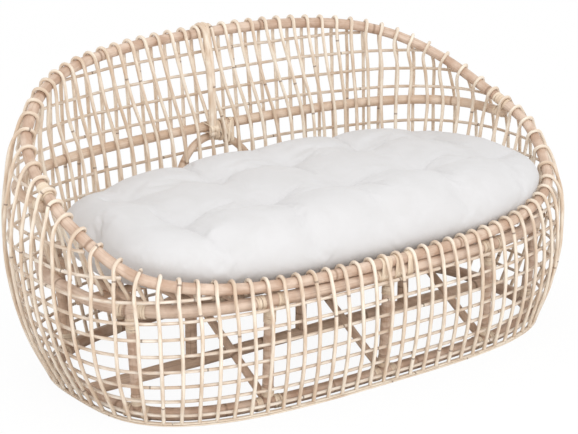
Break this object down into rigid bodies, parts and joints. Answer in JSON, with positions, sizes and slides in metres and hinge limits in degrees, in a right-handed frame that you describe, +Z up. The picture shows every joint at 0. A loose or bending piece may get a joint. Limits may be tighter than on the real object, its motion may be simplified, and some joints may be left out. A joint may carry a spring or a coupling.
{
  "type": "rattan lounge sofa",
  "caption": "Low oval basket sofa of bent poles and vertical strands, its sides sweeping up to a high rounded back, with one deep loose seat cushion.",
  "frame": {"origin": "centre of the footprint's bounding box, on the floor under the foot hoop", "axes": "+X along the sofa's length towards its right-hand end for someone who faces it, +Y from the open front to the high back, +Z up"},
  "size_m": [1.486, 0.8192, 0.7258],
  "materials": {
    "peeled_pole": "satin",
    "frame_pole": "satin",
    "cane_strand": "satin",
    "cushion_fabric": "matte"
  },
  "bodies": {
    "basket": {"top_rim": "peeled_pole", "seat_ring": "peeled_pole", "base_ring": "peeled_pole", "foot_hoop": "cane_strand", "hoop_lower_1": "cane_strand", "hoop_lower_2": "cane_strand", "hoop_lower_3": "cane_strand", "hoop_lower_4": "cane_strand", "hoop_lower_5": "cane_strand", "hoop_lower_6": "cane_strand", "hoop_lower_7": "cane_strand", "hoop_seat": "cane_strand", "hoop_lap": "cane_strand", "hoop_waist": "cane_strand", "hoop_back": "cane_strand", "hoop_shoulder": "cane_strand", "hoop_head": "cane_strand", "hoop_crest": "cane_strand", "stake_panel_01": "cane_strand", "stake_panel_02": "cane_strand", "stake_panel_03": "cane_strand", "stake_panel_04": "cane_strand", "stake_panel_05": "cane_strand", "stake_panel_06": "cane_strand", "stake_panel_07": "cane_strand", "stake_panel_08": "cane_strand", "stake_panel_09": "cane_strand", "stake_panel_10": "cane_strand", "stake_panel_11": "cane_strand", "stake_panel_12": "cane_strand", "post_front_centre": "peeled_pole", "post_front_right": "peeled_pole", "post_front_left": "peeled_pole", "post_front_corner_right": "peeled_pole", "post_front_corner_left": "peeled_pole", "post_rear_corner_right": "peeled_pole", "post_rear_corner_left": "peeled_pole", "post_rear_right": "peeled_pole", "post_rear_left": "peeled_pole", "post_rear_centre": "peeled_pole", "centre_stretcher": "frame_pole", "mid_post_left": "frame_pole", "brace_front_left": "frame_pole", "brace_rear_left": "frame_pole", "mid_post_centre": "frame_pole", "brace_front_centre": "frame_pole", "brace_rear_centre": "frame_pole", "mid_post_right": "frame_pole", "brace_front_right": "frame_pole", "brace_rear_right": "frame_pole", "seat_deck": "frame_pole", "back_rail": "peeled_pole", "back_post": "peeled_pole", "back_arch": "peeled_pole"},
    "cushion": {"cushion": "cushion_fabric"}
  },
  "joints": [
    {"name": "cushion_lift", "type": "slide", "parent": "basket", "child": "cushion", "axis": [0, 0, 1], "range_m": [0, 0.46]}
  ]
}
